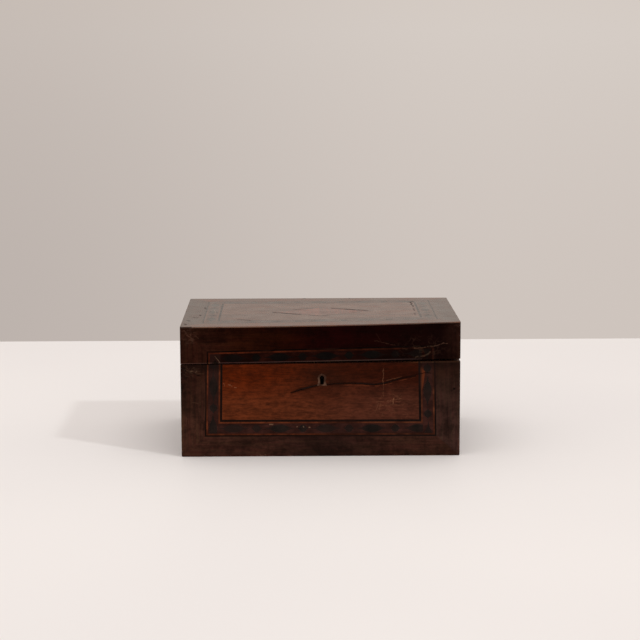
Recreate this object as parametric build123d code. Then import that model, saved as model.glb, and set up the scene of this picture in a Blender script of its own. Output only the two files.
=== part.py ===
from build123d import *
from math import radians, tan
import os

os.makedirs("parts", exist_ok=True)

# A veneered box with a hinged lid and a small brass lock.  Millimetres, +Z is up, the front
# faces -Y, and the origin is the middle of the underside.

# The case, outside
width = 305.0
depth = 203.0
rim_height = 102.6      # sawn rim of the base, along the back and the left side
lid_height = 41.2       # the lid alone, from its sawn edge to its top
seam = 0.6              # what the saw took away, left open all round
rim_rise = 2.6          # the rim is this much higher at its front right corner
lid_twist = 4.5         # the warped lid is this much higher at its front right corner
corner_wear = 2.0       # rounding of the upright corners
top_wear = 0.9          # rounding of the lid's top edges
rim_wear = 0.8          # rounding of both sawn edges
foot_wear = 1.2         # rounding of the bottom edges

# Boards and veneers
board = 9.0             # thickness of the four sides
bottom_board = 6.0
bottom_rebate = 5.0     # how far the bottom board is let into the sides
top_board = 7.0
veneer = 1.2
facing = 1.0            # strips glued over the sawn rims
glue = 0.05             # gap round a piece that is let in
bow_glue = 0.1          # glue under the bowed top board and under the veneer on it
tail_pitch = 33.0       # about one dovetail to each length like this
pin_width = 8.0         # wood between two dovetails at the outside
tail_slope = 10.0       # degrees
sprig_radius = 0.6      # headless nails that hold the bottom board
sprig_length = 13.0
sprig_sink = 0.3        # the nails end this far inside the underside
sprig_pitch = 80.0

# Inlaid frame of the front and of the top, from the outside inwards
side_border = 25.7      # border veneer at the ends of the base's front, at the frame's foot
side_lean = 1.8         # both sides of the base's frame lean in this much up to the rim
bottom_border = 22.3    # border veneer below the frame, in the middle
foot_lean = 0.8         # the frame's foot falls this much over the box's width, to the right
lid_side_border = 28.3  # border veneer at the ends of the lid's front
lid_shift = 0.7         # the lid's frame sits this far right of the middle
lid_border = 26.5       # border veneer above the lid's frame
frame_lean = 2.2        # the lid's frame rises this much more than the lid, to the right
top_border = 23.0       # border veneer round the top
ebony_line = 1.6        # outside the band
inner_ebony = 2.4       # inside it
boxwood_line = 1.7      # on both sides of it
band = 11.4             # ground between the two boxwood lines
lid_band = 10.4         # the lid's level run of the band is narrower

# Motifs of the band: long pointed ones, with dots between them
motif_pitch = 50.5      # from one long motif to the next
left_pitch = 47.5       # the same on the left run
motif_shift = 5.8       # the front's pattern sits this far right of the middle
lozenge_length = 25.0
lozenge_height = 8.6
lozenge_reach = 35.0    # thin tips of the long motif
lozenge_tip = 3.2
dot_radius = 4.1
dot_reach = 12.6        # thin tips of the dot
dot_tip = 3.0
left_dot = 54.6         # height of the lowest dot on the left run
right_dot = 47.0        # height of the lowest dot on the right run
least_motif = 6.0       # a clipped motif smaller than this, in square mm, is left out

# Diamond in the middle of the top
diamond_length = 120.0
diamond_depth = 62.0
diamond_x = 1.6
diamond_y = -4.0
diamond_line = 2.4      # each of its two outlines, measured at the pointed ends

# Crack in the front panel: place from the middle of a panel of this width, height, and gap
crack_panel = 216.0
crack_path = [(-33.5, 70.9, 0.1), (-25.5, 73.4, 1.0), (-15.5, 76.4, 1.5), (-3.9, 79.3, 1.1),
              (7.0, 80.2, 0.8), (26.5, 81.6, 0.7), (43.0, 81.2, 1.1), (52.5, 80.2, 1.3),
              (59.3, 80.0, 1.0), (70.2, 81.4, 1.1), (86.5, 86.2, 0.8), (102.9, 89.6, 0.1)]

# Lock, set out from its key pin
key_x = 1.6
key_drop = 16.4         # pin below the selvedge's top
key_pin_radius = 1.1
key_pin_recess = 1.5    # the pin ends this far behind the front face
keyhole_radius = 2.45
keyhole_half_slot = 1.95
keyhole_foot = 6.9      # foot of the keyhole below the pin
escutcheon_radius = 4.7
escutcheon_foot = 8.4   # foot of the escutcheon below the pin
escutcheon_half_foot = 5.3
escutcheon_shoulder = 2.8
escutcheon_half_shoulder = 3.8
lock_metal = 1.4        # back plate and link plate
lock_ear = 6.0          # back plate past each end of the case
lock_foot = 9.6         # foot of the back plate below the pin
selvedge_metal = 1.6    # the lock's edge plate, let into the rim
selvedge_width = 7.2
case_depth = 5.2
case_metal = 0.8
case_foot = 8.2         # foot of the case below the pin
case_room = 2.4         # inside the case, past the end of the bolt
lock_gap = 0.15         # round the lock in its mortise
ward_radius = 3.6
ward_metal = 0.6
ward_height = 1.2

# Bolt and staples
bolt_throw = 4.0
bolt_play = 0.3         # either side of the bolt in its case
bar_height = 2.4
tongue_overlap = 0.5    # a tongue is longer than the throw by this
tongue_height = 2.4
tongue_thickness = 1.3
tongue_drop = 6.4       # foot of the tongues below the selvedge's top
post_length = 3.0
talon_length = 2.0      # lugs that the key pushes
talon_height = 1.4
talon_offset = 4.0
staple_offset = 9.0     # either side of the key pin
staple_length = 2.0
staple_width = 3.6
staple_leg = 0.8
staple_web = 1.0
staple_room = 0.5       # round the staple in its slot, and above and below the tongue
spring_metal = 0.5
spring_lean = 4.5
spring_pad = 1.2
spring_room = 0.3       # under the selvedge
link_length = 38.0

# Hinges
hinge_x = 90.0          # either side of the middle
hinge_length = 28.0
hinge_inset = 3.0       # pin in from the back face
knuckle_radius = 2.1
hinge_pin_radius = 0.85
hinge_play = 0.05       # round the pin
knuckle_count = 5
knuckle_gap = 0.2
knuckle_room = 0.3      # round the knuckles in the wood
leaf_metal = 1.0
lid_stop = 95.0         # degrees; the bevelled back edges meet just past this
stop_room = 1.0         # degrees

# Wood screws with countersunk heads
screw_head = 1.7
screw_head_depth = 1.1
screw_shank = 0.9
screw_point = 0.15      # radius of the tip
screw_slot = 0.5
screw_gap = 0.05
screw_long = 9.0
screw_short = 6.4
hinge_screw_pitch = 9.0

# Places that follow from the sizes
half = width / 2
front = -depth / 2
back = depth / 2
carcass_x = half - veneer
carcass_y = back - veneer
inner_x = carcass_x - board
inner_y = carcass_y - board
lid_low = rim_height + seam
lid_top = lid_low + lid_height
band_start = ebony_line + boxwood_line
band_end = band_start + band
frame_width = band_end + boxwood_line + inner_ebony
spare = rim_rise + lid_twist + 10      # blanks reach this far past where they are cut

BOTTOM_UP = (Align.CENTER, Align.CENTER, Align.MIN)


# Warp of the rim and of the lid.  A warp is its lift at the front right corner, and whether
# the level is bowed on its way there or straight.

LEVEL = (0, False)
RIM = (rim_rise, False)
SAWN = (lid_twist, False)
TOP = (lid_twist, True)


def rise(x, y, twist):
    """How far a straight twist lifts the spot (x, y): nothing at the back and at the left."""
    return twist * (x / width + 0.5) * (0.5 - y / depth)


def level_edge(z, warp, y):
    """A warped level's line at depth y, longer than the case; a bowed one is a parabola."""
    twist, bowed = warp
    near = 0.5 - y / depth
    left, right = -0.25, 1.25

    def spot(share, lift):
        return (width * (share - 0.5), y, z + twist * near * lift)

    if bowed:
        middle = spot((left + right) / 2, left * right)
        return Bezier(spot(left, left ** 2), middle, spot(right, right ** 2))
    return Line(spot(left, left), spot(right, right))


def room(low, low_warp, high, high_warp):
    """The space between two warped levels, reaching past the case all round."""
    sections = []
    for y in (1.5 * front, 1.5 * back):
        floor = level_edge(low, low_warp, y)
        roof = level_edge(high, high_warp, y)
        walls = [Line(floor @ 1, roof @ 1), Line(roof @ 0, floor @ 0)]
        sections.append(make_face([floor, roof] + walls))
    return loft(sections, ruled=True)


# Helpers for solids

def brick(x, y, z):
    """A block from three (low, high) pairs."""
    size = (x[1] - x[0], y[1] - y[0], z[1] - z[0])
    return Pos(x[0], y[0], z[0]) * Box(*size, align=(Align.MIN, Align.MIN, Align.MIN))


def around(middle, reach):
    """The (low, high) pair that reaches equally to both sides of the middle."""
    return (middle - reach, middle + reach)


def rod(radius, start, direction, length):
    """A round rod from its start along a direction."""
    return Plane(origin=start, z_dir=direction) * Cylinder(radius, length, align=BOTTOM_UP)


def group(shapes):
    """Separate solids that share one node."""
    solids = []
    for shape in shapes:
        solids += shape.solids()
    return Compound(solids)


def less(shape, cutters):
    for cutter in cutters:
        shape -= cutter
    return shape


# Rounded outer shapes of the base and of the lid, which every veneer is cut to

def worn(shape, upper, lower):
    """Round the upright corners, then the upper and the lower edges."""
    shape = fillet(shape.edges().filter_by(Axis.Z), corner_wear)
    middle = shape.center().Z
    for radius, side in ((upper, 1), (lower, -1)):
        edges = []
        for edge in shape.edges():
            lies_level = abs((edge @ 1).Z - (edge @ 0).Z) < board
            if lies_level and (edge.center().Z - middle) * side > board:
                edges.append(edge)
        shape = fillet(edges, radius)
    return shape


base_blank = brick((-half, half), (front, back), (0, rim_height + spare))
base_shape = worn(base_blank & room(-spare, LEVEL, rim_height, RIM), rim_wear, foot_wear)
lid_blank = brick((-half, half), (front, back), (rim_height, lid_top + spare))
lid_shape = worn(lid_blank & room(lid_low, SAWN, lid_top, TOP), top_wear, rim_wear)
top_sheet = lid_shape & room(lid_top - veneer, TOP, lid_top + spare, TOP)
lid_under_sheet = lid_shape & room(lid_low - spare, SAWN, lid_top - veneer, TOP)


# Drawings, and how they are let into the front and into the top

def outline(points):
    return make_face(Polyline(*points, close=True))


def plain(point):
    return point


def settled(point):
    """Move a point drawn on the base's front with the lean of the frame's sides and foot."""
    x, z = point
    share = (z - bottom_border) / (rim_height - bottom_border)
    squeeze = 1 - side_lean * share / (half - side_border)
    return (x * squeeze, z - foot_lean * x / width)


def twisted(point):
    """Lift a point drawn on the lid's front with the twist of the lid."""
    x, z = point
    return (x, z + rise(x, front, lid_twist))


def tilted(point):
    """Lift a point drawn on the lid's front with the twist of the lid and the frame's lean."""
    x, z = twisted(point)
    return (x, z + frame_lean * x / width)


def corners(sides, place=plain):
    """The corners of a rectangle given as (left, right, low, high)."""
    left, right, low, high = sides
    points = [(left, low), (right, low), (right, high), (left, high)]
    return [place(point) for point in points]


def rectangle(sides, place=plain):
    return outline(corners(sides, place))


def mitred(outer, inner, place=plain, outer_place=None):
    """The four strips between two rectangles, mitred at the corners.

    The outer rectangle can be placed in a way of its own.
    """
    outer_points = corners(outer, outer_place or place)
    inner_points = corners(inner, place)
    strips = {}
    for i, side in enumerate(("low", "right", "high", "left")):
        j = (i + 1) % 4
        strips[side] = [outer_points[i], outer_points[j], inner_points[j], inner_points[i]]
    return strips


def butted(outer, inner):
    """Corners of the four strips between two rectangles; the upright strips pass the level ones."""
    left, right, low, high = outer
    in_left, in_right, in_low, in_high = inner
    return {
        "left": (left, in_left, low, high),
        "right": (in_right, right, low, high),
        "low": (in_left, in_right, low, in_low),
        "high": (in_left, in_right, in_high, high),
    }


def on_front(drawing, x=0.0, z=0.0, inward=veneer):
    """A drawing in (x, z), let into the front face."""
    plane = Plane(origin=(x, front, z), x_dir=(1, 0, 0), z_dir=(0, -1, 0))
    return extrude(plane * drawing, amount=-inward)


def cut_from_front(drawings, shape):
    """Let drawings into the front and keep what lies inside the base's or the lid's shape."""
    pieces = []
    for drawing in drawings:
        piece = on_front(drawing) & shape
        if piece and piece.solids():
            pieces.append(piece)
    return group(pieces)


def cut_from_top(drawings):
    """Cut drawings in (x, y) from the sheet of veneer that covers the warped lid."""
    pieces = []
    for drawing in drawings:
        blank = extrude(Pos(0, 0, lid_top - spare) * drawing, amount=2 * spare)
        pieces.append(blank & top_sheet)
    return group(pieces)


# Bevelled back edges, which meet when the lid is fully open

pin_y = back - hinge_inset
pin_z = rim_height + seam / 2


def back_bevel(side):
    """The wedge planed off behind the hinge pin; side is 1 for the base, -1 for the lid."""
    reach = hinge_inset + spare
    drop = reach * tan(radians((lid_stop + stop_room) / 2))
    points = [(pin_y, pin_z), (pin_y + reach, pin_z - side * drop),
              (pin_y + reach, pin_z + side * drop), (pin_y, pin_z + side * drop)]
    plane = Plane(origin=(-width, 0, 0), x_dir=(0, 1, 0), z_dir=(1, 0, 0))
    return extrude(plane * outline(points), amount=2 * width)


base_bevel = back_bevel(1)
lid_bevel = back_bevel(-1)


# Wood screws

def screw(start, direction, length, room_round=0.0):
    """A countersunk screw whose head lies flush at the start, or the space that it takes."""
    head = screw_head + room_round
    shank = screw_shank + room_round
    straight = 0.7 * length
    shape = Cone(head, shank, screw_head_depth, align=BOTTOM_UP)
    shape += Cylinder(shank, straight, align=BOTTOM_UP)
    shape += Pos(0, 0, straight) * Cone(shank, screw_point, length - straight, align=BOTTOM_UP)
    if not room_round:
        shape -= Box(4 * screw_head, screw_slot, 2 * screw_slot)
    return Plane(origin=start, x_dir=(1, 0, 0), z_dir=direction) * shape


# Hinges: two pairs of leaves, with knuckles that take turns on one pin

def knuckle_starts(x, first):
    """Where every other knuckle of the hinge at x begins, from the first or the second."""
    pitch = hinge_length / knuckle_count
    return [x - hinge_length / 2 + i * pitch for i in range(first, knuckle_count, 2)]


def barrel(x, radius, length):
    """A rod on the hinge's axis, from x to the right."""
    return rod(radius, (x, pin_y, pin_z), (1, 0, 0), length)


def leaves(first, z):
    """Both leaves on one sawn edge, with their own knuckles and room for the other ones."""
    pitch = hinge_length / knuckle_count
    shapes = []
    for x in (-hinge_x, hinge_x):
        shape = brick(around(x, hinge_length / 2), (inner_y, pin_y), z)
        for start in knuckle_starts(x, 1 - first):
            space = knuckle_radius + knuckle_gap
            shape -= barrel(start - knuckle_gap / 2, space, pitch + knuckle_gap)
        for start in knuckle_starts(x, first):
            shape += barrel(start + knuckle_gap / 2, knuckle_radius, pitch - knuckle_gap)
        shape -= barrel(x - hinge_length, hinge_pin_radius + hinge_play, 2 * hinge_length)
        shapes.append(shape)
    return shapes


def hinge_screws(side, room_round=0.0):
    """Three screws through each leaf; side is 1 for the base's leaves, -1 for the lid's."""
    y = (inner_y + pin_y - knuckle_radius) / 2
    z = rim_height if side == 1 else lid_low
    shapes = []
    for x in (-hinge_x, hinge_x):
        for step in (-1, 0, 1):
            start = (x + step * hinge_screw_pitch, y, z)
            shapes.append(screw(start, (0, 0, -side), screw_long, room_round))
    return shapes


hinge_spaces = []
hinge_gaps = []        # the rim facings stop short at the leaves
for x in (-hinge_x, hinge_x):
    leaf_x = around(x, hinge_length / 2 + glue)
    leaf_z = (rim_height - leaf_metal, lid_low + leaf_metal)
    hinge_spaces.append(brick(leaf_x, (inner_y - spare, pin_y), leaf_z))
    barrel_start = x - hinge_length / 2 - knuckle_room
    barrel_length = hinge_length + 2 * knuckle_room
    hinge_spaces.append(barrel(barrel_start, knuckle_radius + knuckle_room, barrel_length))
    hinge_gaps.append(brick(leaf_x, (inner_y - spare, back), around(pin_z, spare)))


# Lock: where its pieces lie

inner_front = -inner_y
tongue_gap = staple_length / 2 + staple_room
tongue_length = bolt_throw + tongue_overlap
bolt_reach = staple_offset + tongue_gap + tongue_length + post_length
case_half = bolt_reach + case_room + case_metal
lock_half = case_half + lock_ear
lock_top = rim_height + rise(key_x - lock_half, inner_front, rim_rise)
key_z = lock_top - key_drop
plate_front = inner_front - lock_metal
case_front = plate_front - case_depth
selvedge_low = lock_top - selvedge_metal
selvedge_y = (inner_front - selvedge_width, inner_front)
bolt_y = plate_front - (case_depth - case_metal) / 2
tongue_low = lock_top - tongue_drop
tongue_top = tongue_low + tongue_height
staple_low = tongue_low - staple_room - staple_web
bar_top = staple_low - staple_room
bar_low = bar_top - bar_height
link_low = lid_low + rise(key_x + link_length / 2, front, lid_twist)
staple_xs = (key_x - staple_offset, key_x + staple_offset)


def keyhole():
    """The keyhole's outline, drawn round the key pin."""
    slot = rectangle((-keyhole_half_slot, keyhole_half_slot, -keyhole_foot, 0))
    return Circle(keyhole_radius) + slot


def escutcheon_outline(grow=0.0):
    """A round head over a spreading foot."""
    shoulder = escutcheon_half_shoulder + grow
    foot = escutcheon_half_foot + grow
    low = -escutcheon_foot - grow
    skirt = outline([(-shoulder, -escutcheon_shoulder), (-foot, low), (foot, low),
                     (shoulder, -escutcheon_shoulder)])
    return Circle(escutcheon_radius + grow) + skirt


def lock_screws(room_round=0.0):
    """Two screws down through the selvedge and two through the back plate's ears."""
    shapes = []
    for side in (-1, 1):
        x = key_x + side * (lock_half - lock_ear / 2)
        down = (x, inner_front - selvedge_width / 2, lock_top)
        shapes.append(screw(down, (0, 0, -1), screw_long, room_round))
        shapes.append(screw((x, inner_front, key_z), (0, -1, 0), screw_short, room_round))
    return shapes


def link_screws(room_round=0.0):
    """Two screws up through the link plate, outside its staples."""
    shapes = []
    for side in (-1, 1):
        x = key_x + side * (link_length / 2 + staple_offset) / 2
        shapes.append(screw((x, bolt_y, link_low), (0, 0, 1), screw_long, room_round))
    return shapes


plate_x = around(key_x, lock_half + lock_gap)
plate_z = (key_z - lock_foot - lock_gap, lock_top + spare)
case_z = (key_z - case_foot - lock_gap, lock_top)
link_x = around(key_x, link_length / 2 + lock_gap)
recess_front = selvedge_y[0] - lock_gap
mortise = [
    brick(plate_x, (plate_front, inner_front + spare), plate_z),
    brick(plate_x, (recess_front, inner_front), (selvedge_low, lock_top + spare)),
    brick(around(key_x, case_half + lock_gap), (case_front - lock_gap, plate_front), case_z),
]
link_recess = brick(link_x, (recess_front, inner_front + spare), (rim_height, link_low + lock_metal))


# Carcass boards, dovetailed at the corners

def tails(low, high, side_x, side_y):
    """The dovetails of a side board at one corner, spread evenly between two heights."""
    count = max(1, round((high - low) / tail_pitch))
    pitch = (high - low) / count
    wide = (pitch - pin_width) / 2
    narrow = wide - board * tan(radians(tail_slope))
    start = inner_x if side_x == 1 else -carcass_x
    plane = Plane(origin=(start, 0, 0), x_dir=(0, 1, 0), z_dir=(1, 0, 0))
    shapes = []
    for i in range(count):
        z = low + (i + 0.5) * pitch
        points = [(side_y * inner_y, z - narrow), (side_y * carcass_y, z - wide),
                  (side_y * carcass_y, z + wide), (side_y * inner_y, z + narrow)]
        shapes.append(extrude(plane * outline(points), amount=board))
    return shapes


def four_boards(tall, tailed):
    """Front, back, left and right boards between two heights, with tails between two others."""
    boards = {
        "front": brick((-carcass_x, carcass_x), (-carcass_y, -inner_y), tall),
        "back": brick((-carcass_x, carcass_x), (inner_y, carcass_y), tall),
        "left": brick((-carcass_x, -inner_x), (-inner_y, inner_y), tall),
        "right": brick((inner_x, carcass_x), (-inner_y, inner_y), tall),
    }
    for side, side_x in (("left", -1), ("right", 1)):
        for end, side_y in (("front", -1), ("back", 1)):
            for tail in tails(*tailed, side_x, side_y):
                boards[side] += tail
                boards[end] -= tail
    return boards


def rim_strips(low, high, warp):
    """Four mitred strips that cover the sawn edges of the boards."""
    outer = (-carcass_x, carcass_x, -carcass_y, carcass_y)
    inner = (-inner_x, inner_x, -inner_y, inner_y)
    sheet = room(low, warp, high, warp)
    strips = []
    for points in mitred(outer, inner).values():
        blank = extrude(Pos(0, 0, low - spare) * outline(points), amount=3 * spare)
        strips.append(blank & sheet)
    return strips


def side_veneers(shape):
    """Left, right and back sheets, cut to the worn shape of the base or of the lid."""
    tall = (0, lid_top + spare)
    left = brick((-half, -carcass_x), (-carcass_y, carcass_y), tall) & shape
    right = brick((carcass_x, half), (-carcass_y, carcass_y), tall) & shape
    rear = brick((-half, half), (carcass_y, back), tall) & shape
    return left, right, rear


# Motifs of the band

def lens(length, height):
    """A pointed oval made of two arcs."""
    tip = length / 2
    upper = ThreePointArc((-tip, 0), (0, height / 2), (tip, 0))
    lower = ThreePointArc((tip, 0), (0, -height / 2), (-tip, 0))
    return make_face([upper, lower])


def lozenge(grow=0.0):
    """The long motif: a pointed oval with thin tips."""
    body = lens(lozenge_length + 2 * grow, lozenge_height + 2 * grow)
    return body + lens(lozenge_reach + 2 * grow, lozenge_tip + 2 * grow)


def dot(grow=0.0):
    """The short motif: a round dot with thin tips."""
    return Circle(dot_radius + grow) + lens(dot_reach + 2 * grow, dot_tip + 2 * grow)


def fill_run(strip, first, pitch, middle, upright):
    """One run of the band as its ground and the motifs let into it.

    The motifs lie at half a pitch, long ones by turns with dots, counted from a long one at
    first. The middle gives the run's middle line at each place along it.
    """
    ground = strip
    motifs = []
    steps = int(2 * width / pitch)
    for i in range(-steps, steps + 1):
        place = first + i * pitch / 2
        if upright:
            spot = Pos(middle(place), place) * Rot(0, 0, 90)
        else:
            spot = Pos(place, middle(place))
        motif = dot if i % 2 else lozenge
        inlay = spot * motif() & strip
        if inlay and inlay.area > least_motif:
            motifs += inlay.faces()
            ground -= spot * motif(glue)
    return ground, motifs


# Frame of the front: the base holds its foot and its sides, the lid holds its head

def base_frame(inset):
    """The frame's rectangle at an inset, open upwards past the rim."""
    side = half - side_border - inset
    return (-side, side, bottom_border + inset, rim_height + spare)


def lid_frame(inset):
    """The frame's rectangle at an inset, open downwards past the sawn edge."""
    side = half - lid_side_border - inset
    return (lid_shift - side, lid_shift + side, rim_height - spare, lid_top - lid_border - inset)


def base_inside(inset):
    """The base's rectangle at an inset from the inside of the band."""
    return base_frame(band_end + inset)


def lid_inside(inset):
    """The lid's rectangle at an inset from the inside of the band."""
    left, right, low, high = lid_frame(band_end + inset)
    return (left, right, low, high + band - lid_band)


def base_ring(outer, inner, outer_place=settled):
    strips = mitred(outer, inner, settled, outer_place)
    return cut_from_front([outline(strips[side]) for side in ("left", "low", "right")], base_shape)


def lid_ring(outer, inner, outer_place=tilted):
    strips = mitred(outer, inner, tilted, outer_place)
    return cut_from_front([outline(strips[side]) for side in ("left", "high", "right")], lid_under_sheet)


def front_line(ring, frame, start, thickness):
    """One line of the frame on the base or on the lid."""
    return ring(frame(start), frame(start + thickness))


def front_band(frame, inside, level_side, level_middle, shape, place):
    """Ground and motifs of the band on the base or on the lid."""
    strips = butted(frame(band_start), inside(0))
    level = rectangle(strips[level_side], place)
    left = rectangle(strips["left"], place)
    right = rectangle(strips["right"], place)
    left_x, right_x = frame(band_start + band / 2)[:2]
    runs = [
        fill_run(level, motif_shift, motif_pitch, level_middle, False),
        fill_run(left, left_dot + left_pitch / 2, left_pitch, lambda z: place((left_x, z))[0], True),
        fill_run(right, right_dot + motif_pitch / 2, motif_pitch, lambda z: place((right_x, z))[0], True),
    ]
    grounds = [ground for ground, motifs in runs]
    all_motifs = [motif for ground, motifs in runs for motif in motifs]
    return cut_from_front(grounds, shape), cut_from_front(all_motifs, shape)


def base_level_middle(x):
    return settled((x, bottom_border + band_start + band / 2))[1]


def lid_level_middle(x):
    return tilted((x, lid_top - lid_border - band_start - lid_band / 2))[1]


base_ground, base_motifs = front_band(base_frame, base_inside, "low", base_level_middle, base_shape, settled)
lid_ground, lid_motifs = front_band(lid_frame, lid_inside, "high", lid_level_middle, lid_under_sheet, tilted)


# Frame of the top

def top_frame(inset):
    """The frame's rectangle at an inset from the edge of the top."""
    return (-half + inset, half - inset, front + inset, back - inset)


def top_ring(start, thickness):
    strips = mitred(top_frame(start), top_frame(start + thickness))
    return cut_from_top([outline(points) for points in strips.values()])


def top_band():
    """Ground and motifs of the top's band, laid out from the middle of each side."""
    strips = butted(top_frame(top_border + band_start), top_frame(top_border + band_end))
    run_inset = top_border + band_start + band / 2
    left, right, low, high = top_frame(run_inset)
    runs = [
        fill_run(rectangle(strips["low"]), 0, motif_pitch, lambda x: low, False),
        fill_run(rectangle(strips["high"]), 0, motif_pitch, lambda x: high, False),
        fill_run(rectangle(strips["left"]), 0, motif_pitch, lambda y: left, True),
        fill_run(rectangle(strips["right"]), 0, motif_pitch, lambda y: right, True),
    ]
    grounds = [ground for ground, motifs in runs]
    all_motifs = [motif for ground, motifs in runs for motif in motifs]
    return cut_from_top(grounds), cut_from_top(all_motifs)


def diamond(inset):
    """The diamond's outline, drawn in by an inset measured at its pointed ends."""
    across = diamond_length / 2 - inset
    deep = across * diamond_depth / diamond_length
    points = [(-across, 0), (0, -deep), (across, 0), (0, deep)]
    return Pos(diamond_x, diamond_y) * outline(points)


top_ground, top_motifs = top_band()


# Front panel with its crack, and the escutcheon let into it

def crack():
    """A thin gap along the crack's path, all but closed at both ends, inside the panel."""
    stretch = 2 * (half - side_border - frame_width) / crack_panel
    upper = []
    lower = []
    for x, z, gap in crack_path:
        upper.append((x * stretch, z + gap / 2))
        lower.append((x * stretch, z - gap / 2))
    return outline(upper + lower[::-1])


panel_drawing = rectangle(base_frame(frame_width), settled)
panel_drawing -= Pos(key_x, key_z) * escutcheon_outline(glue)
panel_drawing -= crack()
front_panel = cut_from_front([panel_drawing], base_shape)
escutcheon = on_front(escutcheon_outline() - keyhole(), key_x, key_z)


# Base: four boards, bottom board, facings and plain veneers

def sprigs(room_round=0.0):
    """Headless nails up through the edge of the bottom board."""
    x_edge = inner_x + bottom_rebate / 2
    y_edge = inner_y + bottom_rebate / 2
    spots = []
    for step in (-1.5, -0.5, 0.5, 1.5):
        spots += [(step * sprig_pitch, -y_edge), (step * sprig_pitch, y_edge)]
    for step in (-0.5, 0.5):
        spots += [(-x_edge, step * sprig_pitch), (x_edge, step * sprig_pitch)]
    length = sprig_length + room_round
    return [rod(sprig_radius + room_round, (x, y, sprig_sink), (0, 0, 1), length) for x, y in spots]


bottom_reach = bottom_rebate + glue
bottom_x = around(0, inner_x + bottom_reach)
bottom_y = around(0, inner_y + bottom_reach)
bottom_pocket = brick(bottom_x, bottom_y, (-spare, bottom_board))
bottom = brick(around(0, inner_x + bottom_rebate), around(0, inner_y + bottom_rebate), (0, bottom_board))
under_facing = room(-spare, LEVEL, rim_height - facing, RIM)
base_cuts = {
    "front": mortise + lock_screws(screw_gap) + [on_front(keyhole(), key_x, key_z, board)],
    "back": [base_bevel] + hinge_spaces + hinge_screws(1, screw_gap),
    "left": [base_bevel],
    "right": [base_bevel],
}
base_boards = {}
for name, blank in four_boards((0, rim_height + spare), (0, rim_height - facing)).items():
    cuts = [bottom_pocket] + sprigs(screw_gap) + base_cuts[name]
    base_boards[name] = less(blank & under_facing, cuts)

base_facing = []
for strip in rim_strips(rim_height - facing, rim_height, RIM):
    base_facing.append(less(strip, [base_bevel] + hinge_gaps + mortise))

base_left, base_right, base_rear = side_veneers(base_shape)


# Lid: four rails, top board, facings and plain veneers

board_top = lid_top - veneer - bow_glue
board_low = board_top - top_board
rail_top = board_low - bow_glue
rail_room = room(lid_low + facing, SAWN, rail_top, TOP)
lid_cuts = {
    "front": [link_recess] + link_screws(screw_gap),
    "back": [lid_bevel] + hinge_spaces + hinge_screws(-1, screw_gap),
    "left": [lid_bevel],
    "right": [lid_bevel],
}
rails = {}
for name, blank in four_boards((rim_height, lid_top + spare), (lid_low + lid_twist, rail_top)).items():
    rails[name] = less(blank & rail_room, lid_cuts[name])

top_blank = brick(around(0, carcass_x), around(0, carcass_y), (rim_height, lid_top + spare))
lid_board = top_blank & room(board_low, TOP, board_top, TOP)

lid_facing = []
for strip in rim_strips(lid_low, lid_low + facing, SAWN):
    lid_facing.append(less(strip, [lid_bevel] + hinge_gaps + [link_recess]))

lid_left, lid_right, lid_rear = side_veneers(lid_under_sheet)


# Lock plate, case, key pin and ward

def lock_plate():
    """Back plate and selvedge in one piece, with slots for the staples."""
    plate = brick(around(key_x, lock_half), (plate_front, inner_front), (key_z - lock_foot, lock_top))
    plate += brick(around(key_x, lock_half), selvedge_y, (selvedge_low, lock_top))
    for x in staple_xs:
        slot_y = around(bolt_y, staple_width / 2 + staple_room)
        plate -= brick(around(x, tongue_gap), slot_y, around(selvedge_low, 2 * selvedge_metal))
    return less(plate, lock_screws(screw_gap))


def lock_case():
    """A shallow box over the bolt, open to the back plate and to the selvedge."""
    case_low = key_z - case_foot
    inside_x = around(key_x, case_half - case_metal)
    case = brick(around(key_x, case_half), (case_front, plate_front), (case_low, selvedge_low))
    case -= brick(inside_x, (case_front + case_metal, plate_front), (case_low + case_metal, selvedge_low))
    return case - on_front(keyhole(), key_x, key_z, case_front + 2 * case_metal - front)


def lock_ward():
    """A short ring round the key pin, open downwards for the key."""
    start = (key_x, case_front + case_metal, key_z)
    ring = rod(ward_radius, start, (0, 1, 0), ward_height)
    ring -= rod(ward_radius - ward_metal, start, (0, 1, 0), ward_height)
    notch_z = (key_z - 2 * ward_radius, key_z)
    return ring - brick(around(key_x, keyhole_radius), (case_front, plate_front), notch_z)


key_pin = rod(key_pin_radius, (key_x, plate_front, key_z), (0, -1, 0), plate_front - front - key_pin_recess)


# Bolt: a bar under the staples, with a post and a tongue beside each of them

def lock_bolt():
    thick = around(bolt_y, (case_depth - case_metal) / 2 - bolt_play)
    thin = around(bolt_y, tongue_thickness / 2)
    bolt = brick((key_x - bolt_reach, staple_xs[1] - tongue_gap), thick, (bar_low, bar_top))
    for x in staple_xs:
        root = x - tongue_gap - tongue_length
        bolt += brick((root - post_length, root), thick, (bar_top, tongue_top))
        bolt += brick((root, root + tongue_length), thin, (tongue_low, tongue_top))
    for side in (-1, 1):
        talon = around(key_x + side * talon_offset, talon_length / 2)
        bolt += brick(talon, thick, (bar_low - talon_height, bar_low))
    return bolt


def bolt_spring():
    """A leaf spring that stands on the bar, leans left and bears up under the selvedge."""
    foot = staple_xs[1] - tongue_gap - tongue_length - post_length - spring_metal
    top = selvedge_low - spring_room
    knee = top - spring_metal
    points = [(foot, bar_top), (foot - spring_lean, knee), (foot - spring_lean - spring_pad, knee),
              (foot - spring_lean - spring_pad, top), (foot - spring_lean, top),
              (foot + spring_metal, bar_top)]
    plane = Plane(origin=(0, bolt_y, 0), x_dir=(1, 0, 0), z_dir=(0, -1, 0))
    return extrude(plane * outline(points), amount=tongue_thickness / 2, both=True)


# Link plate in the lid, with a staple for each tongue

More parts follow.
